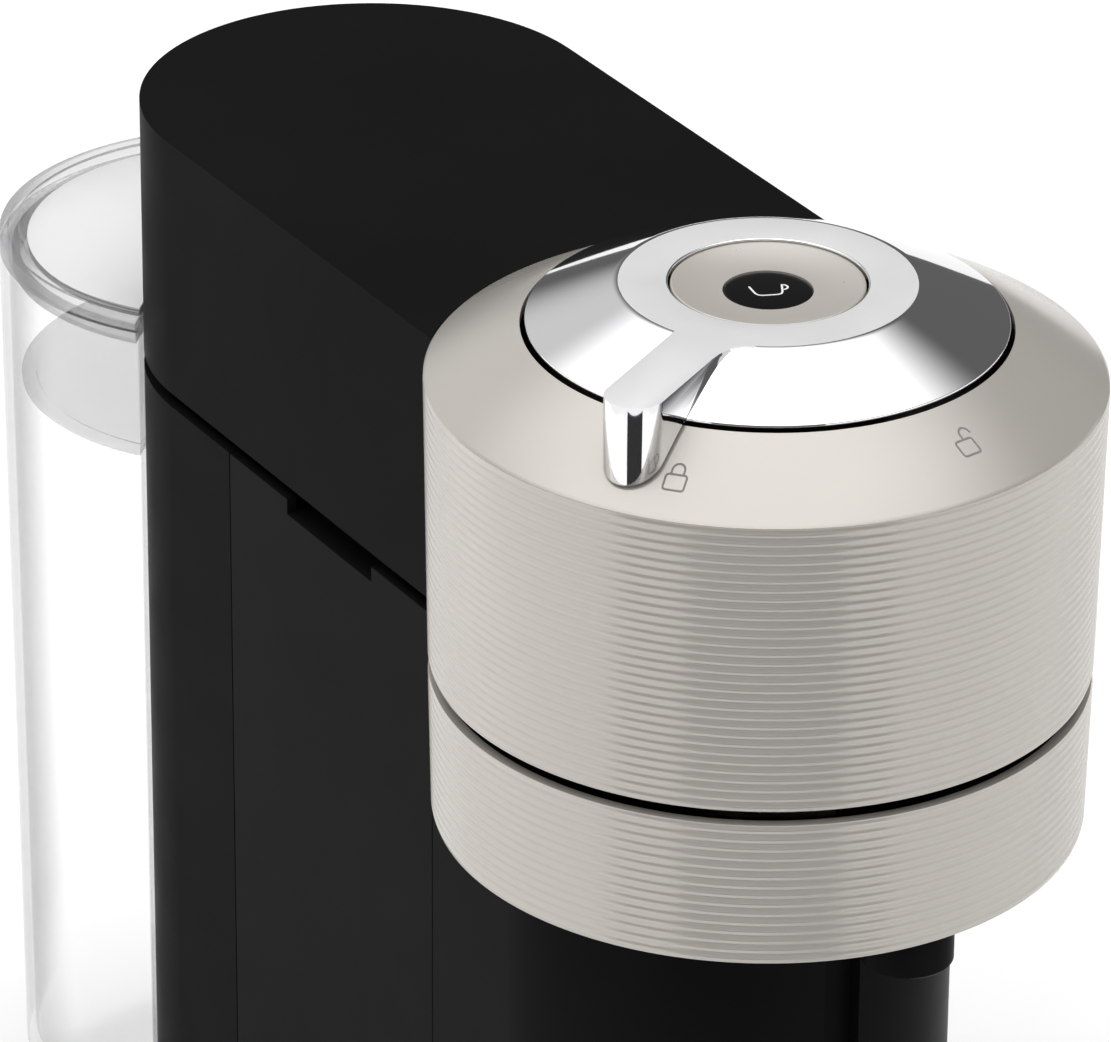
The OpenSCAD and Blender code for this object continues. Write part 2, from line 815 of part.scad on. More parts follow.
module pump_mount() {
  color([0.12, 0.12, 0.12]) at_head() difference() {
    union() {
      translate([pump_x, pump_y, 0]) pipe(pump_r + 3, pump_r + 0.2, pump_low + 14, pump_low + 24);
      block([pump_x - 6, pump_x + 6], [pump_y - pump_r - 8, pump_y - pump_r - 2], [base_top, pump_low + 24]);
      block([pump_x - 6, pump_x + 6], [pump_y - pump_r - 8, pump_y - pump_r + 9], [base_top, base_top + 3]);
    }
    translate([pump_x, pump_y, 0]) rod(pump_r + 0.2, pump_low + 13, pump_low + 25);
  }
}

module flow_meter() {
  color([0.9, 0.9, 0.88]) at_head() translate([block_x, pump_y, 0]) {
    rod(13, base_top + 10, base_top + 24);
    block([-8, 8], [-8, 8], [base_top, base_top + 10 + eps]);
    rod(3, base_top + 23, base_top + 32);
  }
}

module thermoblock() {
  fins = 6;
  fin_pitch = (block_high - block_low) / (fins + 1);
  color([0.7, 0.71, 0.72]) at_head() {
    block([block_x - 15, block_x + 15], [pump_y - 13, pump_y + 13], [block_low, block_high]);
    for (i = [1 : fins]) block(
      [block_x - 17, block_x + 17], [pump_y - 15, pump_y + 15],
      [block_low + i * fin_pitch, block_low + i * fin_pitch + 3]
    );
    translate([block_x, pump_y, 0]) rod(3, block_high - eps, block_high + 6);
    block([block_x + 6, block_x + 14], [seam_back + 3, pump_y - 12], [block_low + 6, block_low + 14]);
  }
}

module hose(a, b, r) {
  run = b - a;
  reach = norm(run);
  translate(a) rotate([0, acos(run[2] / reach), atan2(run[1], run[0])]) cylinder(h = reach, r = r);
}

module hose_path(points, r) {
  for (i = [0 : len(points) - 2]) hose(points[i], points[i + 1], r);
  for (i = [1 : len(points) - 2]) translate(points[i]) sphere(1.15 * r);
}

module water_tubes() {
  r = 2.4;
  meter_top = base_top + 32;
  rise = pump_high + 5;
  top = block_high + 12;
  color([0.9, 0.9, 0.88]) at_head() {
    hose_path([
      [block_x, pump_y, meter_top], [block_x, pump_y, meter_top + 8],
      [block_x, pump_y + 26, meter_top + 8], [pump_x, pump_y + 26, meter_top + 8],
      [pump_x, pump_y + 26, pump_low - 6], [pump_x, pump_y, pump_low - 6], [pump_x, pump_y, pump_low]
    ], r);
    hose_path([
      [pump_x, pump_y, pump_high], [pump_x, pump_y, rise], [pump_x, pump_y - 20, rise],
      [block_x, pump_y - 20, rise], [block_x, pump_y - 20, block_low - 8],
      [block_x, pump_y, block_low - 8], [block_x, pump_y, block_low]
    ], r);
    hose_path([
      [block_x, pump_y, block_high + 6], [block_x, pump_y, top], [0, pump_y - 12, top],
      [0, pump_y - 12, rear_deck_z + 6]
    ], r);
  }
}

module control_board() {
  x = inner_r - 7;
  board_low = base_top + 22;
  color([0.08, 0.32, 0.16]) at_head() {
    block([x, x + 1.6], [bin_back + 8, seam_back - 6], [board_low, board_low + 80]);
    for (i = [0 : 3]) translate([0, bin_back + 14 + i * 17, board_low + 12 + i * 8])
      block([x - 7, x + eps], [0, 10], [0, 18]);
    for (z = [8, 70]) translate([0, bin_back + 40, board_low + z])
      block([x + 1.6 - eps, inner_r], [0, 6], [0, 6]);
  }
}

module tank_dock() {
  color([0.07, 0.07, 0.075]) at_head() difference() {
    slab(base_top, base_top + dock_t) difference() {
      translate([-dock_half, body_l]) square([2 * dock_half, dock_back - body_l]);
      translate([0, body_l]) circle(body_r + slide_gap);
    }
    translate([0, valve_y, 0]) rod(boss_r + boss_gap, tank_bottom - 7, tank_bottom);
    translate([0, valve_y, 0]) rod(2, base_top - over, tank_bottom);
  }
}

module power_inlet() {
  color([0.05, 0.05, 0.05]) at_head() translate([-body_r, inlet_y, inlet_z]) rotate([0, 90, 0]) difference() {
    union() {
      translate([0, 0, -3]) cylinder(h = 3, r = 9);
      translate([0, 0, -eps]) cylinder(h = 5, r = 6);
    }
    translate([0, 0, -3 - over]) cylinder(h = 9, r = 3.6);
  }
}

// ---------- hinge ----------

module hinge_bracket() {
  foot_t = 3;
  color([0.6, 0.61, 0.62]) at_head() difference() {
    union() {
      both_sides() rotate([90, 0, 90]) translate([0, 0, post_in]) linear_extrude(ear_t) {
        translate([hinge_y, hinge_z]) circle(hinge_r);
        translate([hinge_y - hinge_r, rear_deck_z]) square([2 * hinge_r, hinge_z - rear_deck_z]);
      }
      block(
        [-post_out, post_out], [hinge_y - hinge_r - 10, hinge_y + hinge_r],
        [rear_deck_z, rear_deck_z + foot_t]
      );
    }
    translate([-big / 2, hinge_y, hinge_z]) rotate([0, 90, 0]) cylinder(h = big, r = pin_r + seat_fit);
  }
}

module hinge_pin() {
  color([0.78, 0.79, 0.8]) at_head() translate([-pin_half, hinge_y, hinge_z]) rotate([0, 90, 0])
    cylinder(h = 2 * pin_half, r = pin_r);
}

module hinge_springs() {
  length = ear_in - 2;
  color([0.72, 0.73, 0.74]) at_head() both_sides() translate([1, hinge_y, hinge_z]) rotate([0, 90, 0])
    coil(pin_r + 1.6, 0.6, length, 4);
}

// ---------- capsule holder and its rotor ----------

module capsule_holder() {
  low_r = cup_floor_r + cup_t;
  color([0.12, 0.12, 0.13]) at_head() rotate_extrude() polygon([
    [0, cup_floor], [cup_floor_r, cup_floor], [cup_r, holder_top - cup_wall_h], [cup_r, holder_top],
    [holder_r, holder_top], [holder_r, holder_top - 2.5], [cup_r + cup_t, holder_top - 3.5],
    [cup_r + cup_t, holder_top - cup_wall_h], [low_r, cup_floor - 2], [shaft_r + 3, cup_floor - 2],
    [shaft_r + 3, drive_top - 0.6], [shaft_r, drive_top - 0.6], [shaft_r, motor_bottom + 5],
    [0, motor_bottom + 5]
  ]);
}

module motor_rotor() {
  color([0.55, 0.56, 0.58]) at_head() {
    pipe(drive_r - 4, drive_r - 7.5, motor_bottom + 6, drive_bottom - 1);
    pipe(drive_r - 4, shaft_r + seat_fit, motor_bottom + 5, motor_bottom + 8);
  }
}

// ---------- bin and cup support ----------

module front_cover() {
  low = bin_top + slide_gap;
  color([0.05, 0.05, 0.055]) at_head() difference() {
    union() {
      difference() {
        slab(low, front_top) stadium(body_r, bin_l, bin_back_y);
        slab(low - over, front_top + over) stadium(body_r - bin_wall, bin_l, bin_back_y + body_r);
        block([-big, big], [bin_back_y, big], [low - over, 0]);
      }
      block([-rail_half, rail_half], [bin_front + 1, bin_front + rail_d], [low, front_top]);
    }
    block([-slot_w / 2, slot_w / 2], [bin_front - over, tee_y + eps], [low - over, front_top + over]);
    block(
      [-tee_half, tee_half], [tee_y, tee_y + tee_d],
      [low - over, slider_high + support_lift + slide_gap]
    );
  }
}

module capsule_bin() {
  gate_y = bin_back_y - bin_wall;
  color([0.05, 0.05, 0.055]) at_head() difference() {
    union() {
      difference() {
        slab(bin_floor, bin_top) stadium(body_r, bin_l, bin_back_y);
        slab(bin_floor + bin_wall, bin_top + over) stadium(body_r - bin_wall, bin_l, bin_back_y);
        block([-big, big], [gate_y, big], [bin_gate, big]);
        block([-big, big], [bin_back_y, big], [bin_floor - over, big]);
      }
      block([-body_r + 1, body_r - 1], [gate_y, bin_back_y], [bin_floor, bin_gate]);
      both_sides() block([body_r - bin_wall, body_r], [gate_y - eps, bin_back_y], [bin_floor, bin_top]);
      block([-rail_half, rail_half], [bin_front + 1, bin_front + rail_d], [bin_floor, bin_top]);
    }
    block([-slot_w / 2, slot_w / 2], [bin_front - over, tee_y + eps], [bin_floor + 2, bin_top + over]);
    block([-tee_half, tee_half], [tee_y, tee_y + tee_d], [bin_floor + 2, bin_top + over]);
  }
}

module cup_support() {
  tray_wall = 2;
  color([0.07, 0.07, 0.075]) at_head() difference() {
    union() {
      difference() {
        slab(support_bottom, support_top) difference() {
          translate([0, support_y]) circle(support_r);
          translate([0, bin_l]) circle(body_r + 0.8);
        }
        slab(support_bottom + tray_wall, support_top + over) difference() {
          translate([0, support_y]) circle(support_r - tray_wall);
          translate([0, bin_l]) circle(body_r + 0.8 + tray_wall);
        }
      }
      difference() {
        block([-14, 14], [bin_front - 4, bin_front + 8], [support_bottom + 4, slider_high]);
        translate([0, bin_l, 0]) rod(body_r + 0.8, support_bottom, slider_high + over);
      }
      block(
        [-slot_w / 2 + slide_gap, slot_w / 2 - slide_gap], [bin_front - 2, tee_y + 1],
        [slider_low, slider_high]
      );
      block(
        [-tee_half + slide_gap, tee_half - slide_gap], [tee_y + slide_gap, tee_y + tee_d - slide_gap],
        [slider_low, slider_high]
      );
    }
  }
}

module drip_grid() {
  bars = 9;
  grid_r = support_r - 2.6;
  low = support_top - 3;
  color([0.35, 0.35, 0.36]) at_head() difference() {
    slab(low, support_top) difference() {
      translate([0, support_y]) circle(grid_r);
      translate([0, bin_l]) circle(body_r + 8);
    }
    slab(low - over, support_top + over) intersection() {
      difference() {
        translate([0, support_y]) circle(grid_r - 5);
        translate([0, bin_l]) circle(body_r + 13);
      }
      for (i = [-bars : bars]) translate([i * 5.6 - 1.6, support_y - support_r]) square([3.2, 2 * support_r]);
    }
  }
}

// ---------- water tank ----------

module tank_form(r_top, low, high, hug) {
  difference() {
    translate([0, tank_y, low]) cylinder(h = high - low, r1 = r_top - tank_taper, r2 = r_top);
    translate([0, body_l, 0]) rod(hug, low - over, high + over);
  }
}

module water_tank() {
  color([0.85, 0.9, 0.92, 0.35]) at_head() difference() {
    union() {
      tank_form(tank_r, tank_bottom, tank_top, hug_r);
      translate([0, valve_y, 0]) rod(boss_r, tank_bottom - 5, tank_bottom + eps);
    }
    tank_form(tank_r - tank_wall, tank_bottom + 3, tank_top + eps, hug_r + tank_wall);
    translate([0, tank_y, tank_top - 0.5]) difference() {
      cylinder(h = 2, r = tank_r - tank_wall);
      translate([0, -tank_off, -over]) cylinder(h = 4, r = hug_r + tank_wall);
    }
    translate([0, valve_y, 0]) rod(valve_bore, tank_bottom - 6, tank_bottom + 4);
  }
}

module valve_cage() {
  low = tank_bottom + 3;
  color([0.2, 0.2, 0.21]) at_head() translate([0, valve_y, 0]) difference() {
    rod(valve_cage_r, low, low + 17);
    rod(9, low - over, low + 15);
    rod(3, low, low + 18);
    for (a = [0, 90]) rotate([0, 0, a]) block([-20, 20], [-4.5, 4.5], [low + 2.5, low + 13]);
  }
}

module valve_spring() {
  low = tank_bottom + 6;
  color([0.75, 0.75, 0.77]) at_head() translate([0, valve_y, low])
    coil(5, 0.4, tank_bottom + 18 - low, 5);
}

module valve_plunger() {
  seat = tank_bottom + 3;
  color([0.55, 0.12, 0.1]) at_head() translate([0, valve_y, 0]) {
    rod(7, seat, seat + 3);
    rod(valve_bore - 1.4, tank_bottom - 3, seat + eps);
    rod(2.4, seat + 3 - eps, seat + 8);
  }
}

module tank_lid() {
  rim = 6;
  step = 1.6;
  plug = 4;
  color([0.86, 0.88, 0.9, 0.5]) at_head() {
    difference() {
      slab(tank_top, lid_top) crescent(tank_r, hug_r);
      slab(lid_top - step, lid_top + over) crescent(tank_r - rim, hug_r + rim);
    }
    slab(tank_top - plug, tank_top + eps) difference() {
      crescent(tank_r - tank_wall - 0.8, hug_r + tank_wall + 0.8);
      crescent(tank_r - tank_wall - 2.6, hug_r + tank_wall + 2.6);
    }
  }
}

module tank_baffle() {
  depth = 38;
  color([0.7, 0.72, 0.73, 0.5]) at_head() {
    slab(lid_top - depth, lid_top - depth + 1.6) crescent(tank_r - tank_wall - 2.4, hug_r + tank_wall + 2.4);
    translate([12, tank_y + 16, 0]) rod(3, lid_top - depth + 1.5, tank_top);
  }
}

head_shell();
top_casing();
head_frame();
head_base();
injector_bearing();
water_elbow();
head_hose();
switch_board();
button_spring();
lever();
lever_hub();
locking_ring();
button();
button_lens();
injector();
piercing_needle();
brew_seal();
base_plate();
feet();
case_screws();
side_cover();
rear_cover();
lower_ring();
chamber_deck();
coffee_collector();
coffee_spout();
drive_housing();
holder_bearing();
motor_stator();
motor_cover();
capsule_chute();
barcode_reader();
reader_window();
water_pump();
pump_mount();
flow_meter();
thermoblock();
water_tubes();
control_board();
tank_dock();
power_inlet();
hinge_bracket();
hinge_pin();
hinge_springs();
capsule_holder();
motor_rotor();
front_cover();
capsule_bin();
cup_support();
drip_grid();
water_tank();
valve_cage();
valve_spring();
valve_plunger();
tank_lid();
tank_baffle();
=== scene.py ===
"""Looks of the pod coffee machine: detailed skins for the pieces that show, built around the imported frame."""

import json
import math

import bmesh
import bpy
from mathutils import Matrix, Vector


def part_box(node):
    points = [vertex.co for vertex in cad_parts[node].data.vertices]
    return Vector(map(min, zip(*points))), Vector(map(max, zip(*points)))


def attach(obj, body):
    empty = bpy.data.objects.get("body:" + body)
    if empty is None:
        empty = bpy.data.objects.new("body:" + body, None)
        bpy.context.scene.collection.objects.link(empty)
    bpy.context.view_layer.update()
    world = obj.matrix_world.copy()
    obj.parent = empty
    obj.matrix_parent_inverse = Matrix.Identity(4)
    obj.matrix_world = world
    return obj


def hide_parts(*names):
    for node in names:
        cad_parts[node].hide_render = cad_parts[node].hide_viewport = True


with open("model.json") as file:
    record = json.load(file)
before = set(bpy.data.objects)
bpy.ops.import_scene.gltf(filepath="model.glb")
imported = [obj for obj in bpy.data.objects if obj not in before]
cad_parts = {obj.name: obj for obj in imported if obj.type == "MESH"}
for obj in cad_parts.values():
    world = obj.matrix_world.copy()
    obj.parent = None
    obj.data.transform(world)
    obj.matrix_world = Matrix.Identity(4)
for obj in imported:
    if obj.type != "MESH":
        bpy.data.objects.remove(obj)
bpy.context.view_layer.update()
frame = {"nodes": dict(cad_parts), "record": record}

# ---------------------------------------------------------------- places

MM = 0.001
LEVER_TOP = 20.8  # above the head's rim
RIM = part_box("lever")[1].z / MM - LEVER_TOP
AXIS_Y = (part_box("injector")[0].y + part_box("injector")[1].y) / 2 / MM
HEAD_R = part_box("head_shell")[1].x / MM
BODY_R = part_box("rear_cover")[1].x / MM
BODY_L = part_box("rear_cover")[1].y / MM - AXIS_Y - BODY_R
TANK_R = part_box("water_tank")[1].x / MM
TANK_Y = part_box("water_tank")[1].y / MM - AXIS_Y - TANK_R
TANK_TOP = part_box("water_tank")[1].z / MM - RIM
DOCK_GAP = 1  # between the dock and the tank
TANK_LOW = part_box("tank_dock")[1].z / MM - RIM + DOCK_GAP
LID_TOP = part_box("tank_lid")[1].z / MM - RIM
BAFFLE_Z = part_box("tank_baffle")[0].z / MM - RIM
HEAD_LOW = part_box("head_shell")[0].z / MM - RIM
RING_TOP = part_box("lower_ring")[1].z / MM - RIM
RING_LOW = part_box("lower_ring")[0].z / MM - RIM
WALL = 2.5
TANK_WALL = 2.2
TANK_TAPER = 1.5  # what the tank loses in radius down to its bottom
HUG_R = BODY_R + 1.5  # the tank's hollow, which hugs the casing's round back
VALVE_Y = (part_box("valve_cage")[0].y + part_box("valve_cage")[1].y) / 2 / MM - AXIS_Y
HEAD_TAPER = 1.0
RING_TAPER = 0.7
RIB_DEPTH = 0.3
CONE_H = 11.9  # the smooth cone's rise from the rim to the chromed skirt
SKIRT_R = 50.05
ARM_ANGLE = math.radians(-148.4)
CAMERA_AZIMUTH = math.radians(-121.4)
LINE_W = 0.42  # width of a printed line
WORLD_LIGHT = 0.12
SOFT_LIGHTS = [  # azimuth, elevation, outer and inner edge in degrees, strength
    (165, 85, 58, 18, 2.25),
    (97, 24, 33, 10, 0.6),
]


def place(x, y, z):
    """A point given in millimetres from the head's axis at its rim, in the row frame in metres."""
    return Vector((x * MM, (y + AXIS_Y) * MM, (z + RIM) * MM))


def cone_z(r):
    """Height of the head's smooth cone at radius r."""
    return (HEAD_R - r) / (HEAD_R - SKIRT_R) * CONE_H


# ---------------------------------------------------------------- mesh helpers


def link(name, mesh):
    obj = bpy.data.objects.new(name, mesh)
    bpy.context.scene.collection.objects.link(obj)
    return obj


def mesh_object(name, points, faces):
    """An object from points given as place() takes them, with its normals made consistent."""
    mesh = bpy.data.meshes.new(name)
    mesh.from_pydata([place(*p) for p in points], [], faces)
    tidy(mesh)
    return link(name, mesh)


def tidy(mesh, merge=1e-7):
    bm = bmesh.new()
    bm.from_mesh(mesh)
    bmesh.ops.remove_doubles(bm, verts=bm.verts, dist=merge)
    bmesh.ops.dissolve_degenerate(bm, dist=merge, edges=bm.edges)
    bmesh.ops.recalc_face_normals(bm, faces=bm.faces)
    bm.to_mesh(mesh)
    bm.free()


def smooth(obj, angle=30):
    obj.data.shade_smooth()
    obj.data.set_sharp_from_angle(angle=math.radians(angle))


def bake_modifiers(obj):
    """Applies the object's modifiers to its mesh."""
    graph = bpy.context.evaluated_depsgraph_get()
    mesh = bpy.data.meshes.new_from_object(obj.evaluated_get(graph))
    obj.modifiers.clear()
    obj.data = mesh


def combine(obj, other, operation):
    """A boolean of obj with other, which is used up."""
    modifier = obj.modifiers.new("combine", "BOOLEAN")
    modifier.operation = operation
    modifier.object = other
    modifier.solver = "EXACT"
    bake_modifiers(obj)
    bpy.data.objects.remove(other)
    tidy(obj.data)


def bevel(obj, width, segments=3, angle=35):
    """Rounds the edges sharper than angle, with width in millimetres."""
    modifier = obj.modifiers.new("bevel", "BEVEL")
    modifier.width = width * MM
    modifier.segments = segments
    modifier.limit_method = "ANGLE"
    modifier.angle_limit = math.radians(angle)
    modifier.miter_outer = "MITER_ARC"
    bake_modifiers(obj)


def rounded(corners, radii, steps=6):
    """The outline through corners, with an arc of the given radius at each corner that has one."""
    out, count = [], len(corners)
    for i, corner in enumerate(corners):
        radius = radii.get(i, 0)
        if not radius:
            out.append(tuple(corner))
            continue
        here = Vector(corner)
        back = (Vector(corners[i - 1]) - here).normalized()
        ahead = (Vector(corners[(i + 1) % count]) - here).normalized()
        half = back.angle(ahead) / 2
        centre = here + (back + ahead).normalized() * radius / math.sin(half)
        start = here + back * radius / math.tan(half) - centre
        end = here + ahead * radius / math.tan(half) - centre
        for k in range(steps + 1):
            t = k / steps
            turn = math.pi - 2 * half
            a = math.sin((1 - t) * turn) / math.sin(turn)
            b = math.sin(t * turn) / math.sin(turn)
            out.append(tuple(centre + start * a + end * b))
    return out


def revolve(name, profile, y=0.0, steps=240):
    """A closed profile of (radius, height) turned about the vertical axis at y."""
    points, faces, count = [], [], len(profile)
    for i in range(steps):
        angle = 2 * math.pi * i / steps
        points += [(r * math.cos(angle), y + r * math.sin(angle), z) for r, z in profile]
    for i in range(steps):
        a, b = i * count, (i + 1) % steps * count
        for k in range(count):
            n = (k + 1) % count
            faces.append((a + k, b + k, b + n, a + n))
    return mesh_object(name, points, faces)


def loft(name, rings, capped=True):
    """A skin over rings of equal numbers of points, closed at both ends."""
    count = len(rings[0])
    points = [p for ring in rings for p in ring]
    faces = []
    for i in range(len(rings) - 1):
        a, b = i * count, (i + 1) * count
        faces += [(a + k, a + (k + 1) % count, b + (k + 1) % count, b + k) for k in range(count)]
    if capped:
        faces.append(tuple(range(count))[::-1])
        faces.append(tuple(range((len(rings) - 1) * count, len(rings) * count)))
    return mesh_object(name, points, faces)


def box_object(name, x, y, z):
    corners = [(a, b, c) for a in x for b in y for c in z]
    faces = [(0, 1, 3, 2), (4, 6, 7, 5), (0, 4, 5, 1), (2, 3, 7, 6), (0, 2, 6, 4), (1, 5, 7, 3)]
    return mesh_object(name, corners, faces)


def arc(centre, radius, start, end, steps):
    return [
        (
            centre[0] + radius * math.cos(start + (end - start) * k / steps),
            centre[1] + radius * math.sin(start + (end - start) * k / steps),
        )
        for k in range(steps + 1)
    ]


def crescent(radius, hug, steps=120):
    """The tank's outline: a circle, hollowed in front to hug the body's round back."""
    off = TANK_Y - BODY_L
    y = (off * off - radius * radius + hug * hug) / (2 * off)
    x = math.sqrt(hug * hug - y * y)
    outer_from = math.atan2(y - off, x)
    outer_to = math.pi - outer_from
    hug_from = math.atan2(y, x)
    outer = arc((0, TANK_Y), radius, outer_from, outer_to, steps)
    inner = arc((0, BODY_L), hug, math.pi - hug_from, hug_from, steps // 2)
    return outer + inner[1:-1]


def raised(outline, z):
    return [(x, y, z) for x, y in outline]


def ribbon(name, line, width, lift, to_surface, closed=False):
    """A thin printed line: line is in flat millimetres, and to_surface puts a flat point on the surface."""
    points, faces = [], []
    count = len(line)
    for i, (x, y) in enumerate(line):
        before = line[i - 1] if i or closed else line[0]
        after = line[(i + 1) % count] if i < count - 1 or closed else line[-1]
        along = Vector((after[0] - before[0], after[1] - before[1])).normalized()
        side = Vector((-along.y, along.x)) * width / 2
        for sign in (-1, 1):
            points.append(to_surface(x + sign * side.x, y + sign * side.y, lift))
        for sign in (1, -1):
            points.append(to_surface(x + sign * side.x, y + sign * side.y, 0))
    spans = count if closed else count - 1
    for i in range(spans):
        a, b = 4 * i, 4 * ((i + 1) % count)
        faces += [(a + k, a + (k + 1) % 4, b + (k + 1) % 4, b + k) for k in range(4)]
    if not closed:
        faces += [(3, 2, 1, 0), (4 * count - 4, 4 * count - 3, 4 * count - 2, 4 * count - 1)]
    return mesh_object(name, points, faces)


def joined(name, pieces):
    """One object from several, which are used up."""
    bm = bmesh.new()
    for piece in pieces:
        bm.from_mesh(piece.data)
        bpy.data.objects.remove(piece)
    mesh = bpy.data.meshes.new(name)
    bm.to_mesh(mesh)
    bm.free()
    return link(name, mesh)


# ---------------------------------------------------------------- materials


def nodes_of(name):
    material = bpy.data.materials.new(name)
    material.use_nodes = True
    tree = material.node_tree
    return material, tree, tree.nodes["Principled BSDF"]


def noise(tree, scale, detail=3.0, stretch=(1, 1, 1)):
    """A noise texture in object space, with scale in features per metre."""
    where = tree.nodes.new("ShaderNodeTexCoord")
    mapping = tree.nodes.new("ShaderNodeMapping")
    mapping.inputs["Scale"].default_value = stretch
    texture = tree.nodes.new("ShaderNodeTexNoise")
    texture.inputs["Scale"].default_value = scale
    texture.inputs["Detail"].default_value = detail
    tree.links.new(where.outputs["Object"], mapping.inputs["Vector"])
    tree.links.new(mapping.outputs["Vector"], texture.inputs["Vector"])
    return texture.outputs["Fac"]


def spread(tree, value, low, high):
    """Maps a noise value from its usual range to low..high."""
    node = tree.nodes.new("ShaderNodeMapRange")
    node.inputs["From Min"].default_value = 0.3
    node.inputs["From Max"].default_value = 0.7
    node.inputs["To Min"].default_value = low
    node.inputs["To Max"].default_value = high
    tree.links.new(value, node.inputs["Value"])
    return node.outputs["Result"]


def tint(tree, value, color, variation):
    """A colour that drifts by variation either way."""
    mix = tree.nodes.new("ShaderNodeMix")
    mix.data_type = "RGBA"
    mix.inputs["A"].default_value = [c * (1 - variation) for c in color] + [1]
    mix.inputs["B"].default_value = [min(c * (1 + variation), 1) for c in color] + [1]
    tree.links.new(value, mix.inputs["Factor"])
    return mix.outputs["Result"]


def surface(
    name, color, rough, metallic=0.0, variation=0.05, drift=0.04,
    grain=2500.0, bump=0.02, stretch=(1, 1, 1), specular=0.5, coat=0.0,
):
    """A moulded, cast or turned surface: colour drift, uneven gloss and a fine grain."""
    material, tree, shader = nodes_of(name)
    broad = noise(tree, 14.0, 4.0)
    fine = noise(tree, grain, 2.0, stretch)
    tree.links.new(tint(tree, spread(tree, broad, 0, 1), color, variation), shader.inputs["Base Color"])
    tree.links.new(
        spread(tree, noise(tree, 60.0, 5.0, stretch), max(rough - drift, 0.02), rough + drift),
        shader.inputs["Roughness"],
    )
    relief = tree.nodes.new("ShaderNodeBump")
    relief.inputs["Strength"].default_value = 1.0
    relief.inputs["Distance"].default_value = bump * MM
    tree.links.new(fine, relief.inputs["Height"])
    tree.links.new(relief.outputs["Normal"], shader.inputs["Normal"])
    shader.inputs["Metallic"].default_value = metallic
    shader.inputs["Specular IOR Level"].default_value = specular
    shader.inputs["Coat Weight"].default_value = coat
    shader.inputs["Coat Roughness"].default_value = 0.08
    return material


def clear(name, color, edge, haze, rough, start=0.6):
    """Clear plastic: light passes straight through, and it greys towards its silhouette from start on."""
    material, tree, shader = nodes_of(name)
    facing = tree.nodes.new("ShaderNodeLayerWeight")
    facing.inputs["Blend"].default_value = 0.5
    ramp = tree.nodes.new("ShaderNodeMapRange")
    ramp.inputs["From Min"].default_value = start
    ramp.inputs["From Max"].default_value = 1.0
    ramp.inputs["To Min"].default_value = haze
    ramp.inputs["To Max"].default_value = edge
    tree.links.new(facing.outputs["Facing"], ramp.inputs["Value"])
    tree.links.new(ramp.outputs["Result"], shader.inputs["Alpha"])
    tree.links.new(tint(tree, noise(tree, 30.0), color, 0.03), shader.inputs["Base Color"])
    tree.links.new(spread(tree, noise(tree, 400.0), rough * 0.9, rough * 1.1), shader.inputs["Roughness"])
    shader.inputs["IOR"].default_value = 1.49
    return material


LOOKS = {
    "head_grey": surface("head_grey", (0.50, 0.472, 0.434), 0.2, 0.3, 0.015, 0.02, 900, 0.0006, specular=0.6),
    "casing_black": surface(
        "casing_black", (0.0085, 0.0085, 0.0088), 0.42, 0.0, 0.1, 0.03, 1500, 0.003, specular=0.008
    ),
    "gloss_black": surface(
        "gloss_black", (0.0075, 0.0075, 0.0078), 0.34, 0.0, 0.1, 0.03, 1200, 0.001, specular=0.012
    ),
    "grey_nylon": surface("grey_nylon", (0.10, 0.10, 0.105), 0.5, 0.0, 0.1, 0.05, 1500, 0.02),
    "black_nylon": surface("black_nylon", (0.018, 0.018, 0.019), 0.45, 0.0, 0.1, 0.05, 1500, 0.012),
    "white_nylon": surface("white_nylon", (0.70, 0.70, 0.67), 0.4, 0.0, 0.03, 0.05, 1500, 0.012),
    "button_grey": surface("button_grey", (0.57, 0.54, 0.495), 0.3, 0.3, 0.02, 0.03, 900, 0.0006),
    "chrome": surface("chrome", (0.86, 0.86, 0.87), 0.05, 1.0, 0.01, 0.01, 300, 0.0002),
    "steel": surface("steel", (0.62, 0.62, 0.63), 0.28, 1.0, 0.04, 0.06, 900, 0.004, (1, 1, 6)),
    "steel_grid": surface("steel_grid", (0.30, 0.30, 0.31), 0.3, 1.0, 0.05, 0.06, 900, 0.005, (1, 8, 1)),
    "zinc": surface("zinc", (0.55, 0.56, 0.58), 0.38, 1.0, 0.12, 0.08, 500, 0.01),
    "cast_aluminium": surface("cast_aluminium", (0.62, 0.62, 0.63), 0.5, 1.0, 0.08, 0.08, 900, 0.06),
    "copper": surface("copper", (0.62, 0.27, 0.12), 0.3, 1.0, 0.12, 0.06, 1500, 0.05, (1, 1, 5)),
    "brass": surface("brass", (0.72, 0.54, 0.24), 0.25, 1.0, 0.05, 0.05, 1200, 0.004),
    "rubber": surface("rubber", (0.016, 0.016, 0.016), 0.7, 0.0, 0.15, 0.08, 1500, 0.04),
    "silicone": surface("silicone", (0.74, 0.74, 0.71), 0.4, 0.0, 0.04, 0.05, 1200, 0.01),
    "red_silicone": surface("red_silicone", (0.42, 0.05, 0.04), 0.5, 0.0, 0.1, 0.05, 1500, 0.02),
    "circuit_board": surface("circuit_board", (0.018, 0.13, 0.055), 0.35, 0.0, 0.25, 0.1, 700, 0.03),
    "red_lens": clear("red_lens", (0.35, 0.02, 0.02), 0.9, 0.6, 0.08),
    "tank_clear": clear("tank_clear", (0.10, 0.103, 0.106), 0.42, 0.004, 0.03, 0.5),
    "lid_clear": clear("lid_clear", (0.14, 0.142, 0.145), 0.75, 0.16, 0.05, 0.35),
    # painted shadow: the baffle's grey clear finish stands in for the lid's shadow on the water in the tank
    "baffle_clear": clear("baffle_clear", (0.40, 0.405, 0.41), 0.6, 0.27, 0.3),
}
SATIN = surface("satin_chrome", (0.84, 0.84, 0.845), 0.42, 0.45, 0.02, 0.03, 1500, 0.001)
